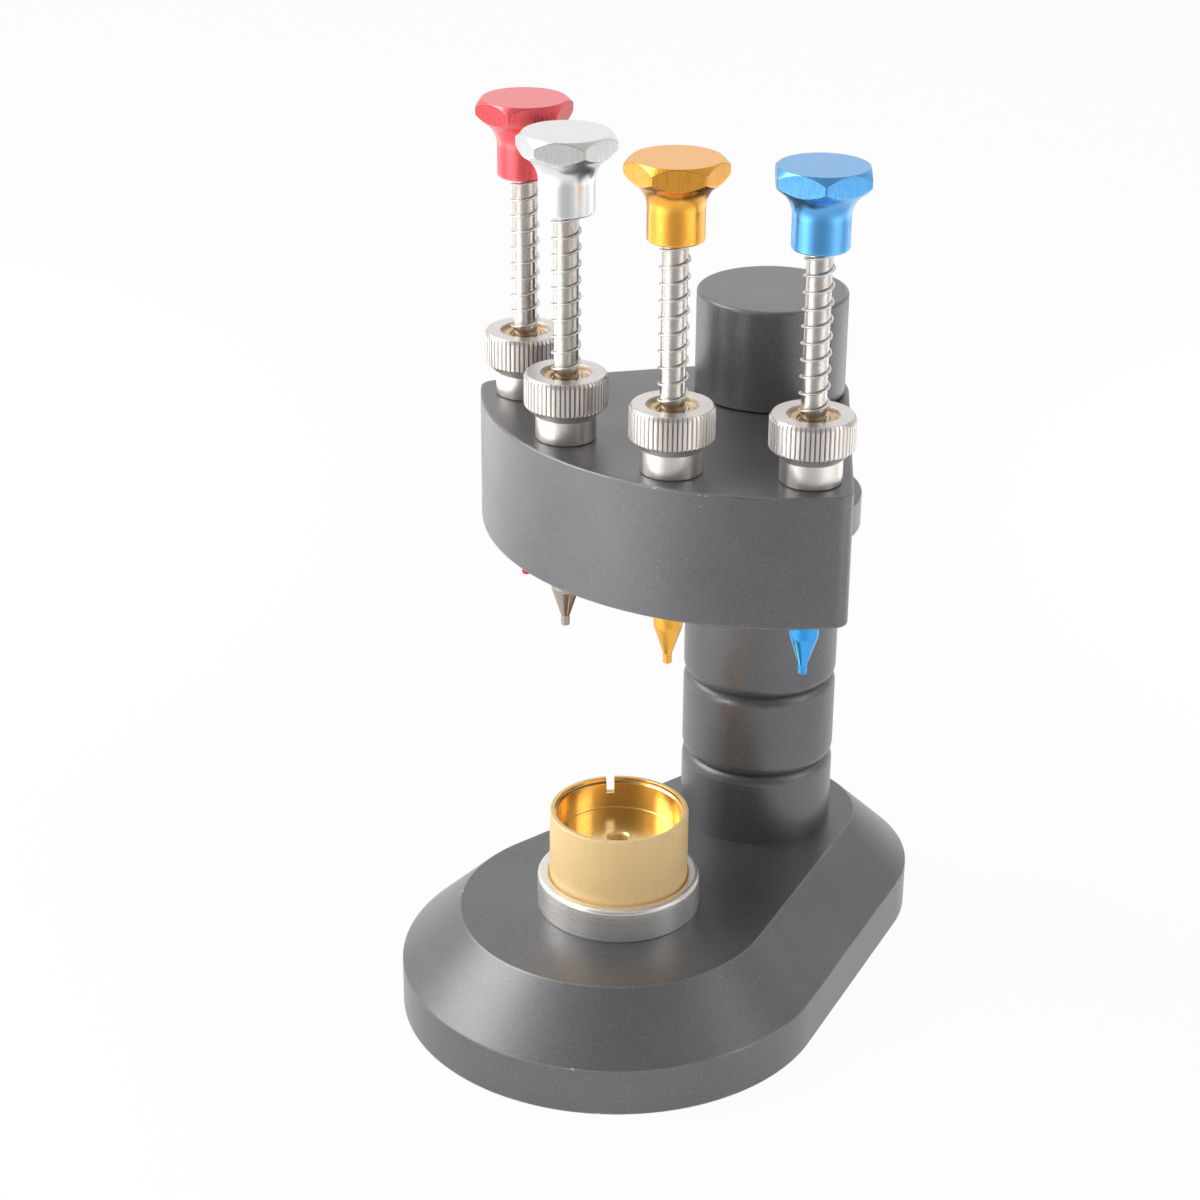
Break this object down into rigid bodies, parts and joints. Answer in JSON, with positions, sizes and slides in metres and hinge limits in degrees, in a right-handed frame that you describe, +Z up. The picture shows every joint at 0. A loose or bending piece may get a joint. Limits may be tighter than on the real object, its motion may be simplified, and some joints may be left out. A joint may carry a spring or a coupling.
{
  "type": "watch hand press",
  "caption": "Bench press for setting watch hands: sprung plungers with hexagonal knobs in a turning head, on a column above a brass movement cup on a heavy base.",
  "frame": {"origin": "middle of the base plate's underside, on the surface the press stands on", "axes": "+Z up along the column, -Y towards the user, +X to the user's right"},
  "size_m": [0.0953, 0.1338, 0.1866],
  "materials": {
    "body": "dark grey, blasted and anodised",
    "steel": "polished shaft steel",
    "satin_steel": "satin, turned",
    "spring_wire": "bright wire",
    "bronze": "plain bronze",
    "brass": "turned brass",
    "knob_red": "red anodised",
    "knob_silver": "clear anodised",
    "knob_gold": "orange gold anodised",
    "knob_blue": "blue anodised",
    "tip_red": "red plastic",
    "tip_silver": "grey plastic",
    "tip_gold": "orange plastic",
    "tip_blue": "blue plastic"
  },
  "bodies": {
    "stand": {"base": "body", "column": "body", "column_screw": "steel", "index_plate": "body", "index_dowels": "steel", "spindle": "steel", "thrust_washer": "bronze", "cap_washer": "bronze", "cap": "body", "seat_ring": "satin_steel", "seat_screw": "steel"},
    "turning_head": {"head": "body", "head_bush": "bronze", "detent_ball": "steel", "detent_spring": "spring_wire", "collar_red": "satin_steel", "collar_silver": "satin_steel", "collar_gold": "satin_steel", "collar_blue": "satin_steel", "guide_bush_red": "brass", "guide_bush_silver": "brass", "guide_bush_gold": "brass", "guide_bush_blue": "brass", "lower_bush_red": "brass", "lower_bush_silver": "brass", "lower_bush_gold": "brass", "lower_bush_blue": "brass", "return_spring_red": "spring_wire", "return_spring_silver": "spring_wire", "return_spring_gold": "spring_wire", "return_spring_blue": "spring_wire"},
    "plunger_red": {"knob_red": "knob_red", "rod_red": "steel", "clip_red": "spring_wire", "tip_red": "tip_red"},
    "plunger_silver": {"knob_silver": "knob_silver", "rod_silver": "steel", "clip_silver": "spring_wire", "tip_silver": "tip_silver"},
    "plunger_gold": {"knob_gold": "knob_gold", "rod_gold": "steel", "clip_gold": "spring_wire", "tip_gold": "tip_gold"},
    "plunger_blue": {"knob_blue": "knob_blue", "rod_blue": "steel", "clip_blue": "spring_wire", "tip_blue": "tip_blue"},
    "cup": {"movement_cup": "brass"}
  },
  "joints": [
    {"name": "head_turn", "type": "hinge", "parent": "stand", "child": "turning_head", "pos_m": [0, 0.0314, 0.1012], "axis": [0, 0, 1], "continuous": true},
    {"name": "press_red", "type": "slide", "parent": "turning_head", "child": "plunger_red", "axis": [0, 0, -1], "range_m": [0, 0.028], "stiffness_N_per_m": 300, "springref_m": -0.005, "deforming": ["return_spring_red"]},
    {"name": "press_silver", "type": "slide", "parent": "turning_head", "child": "plunger_silver", "axis": [0, 0, -1], "range_m": [0, 0.028], "stiffness_N_per_m": 300, "springref_m": -0.005, "deforming": ["return_spring_silver"]},
    {"name": "press_gold", "type": "slide", "parent": "turning_head", "child": "plunger_gold", "axis": [0, 0, -1], "range_m": [0, 0.028], "stiffness_N_per_m": 300, "springref_m": -0.005, "deforming": ["return_spring_gold"]},
    {"name": "press_blue", "type": "slide", "parent": "turning_head", "child": "plunger_blue", "axis": [0, 0, -1], "range_m": [0, 0.028], "stiffness_N_per_m": 300, "springref_m": -0.005, "deforming": ["return_spring_blue"]},
    {"name": "cup_lift", "type": "slide", "parent": "stand", "child": "cup", "axis": [0, 0, 1], "range_m": [0, 0.008]}
  ]
}
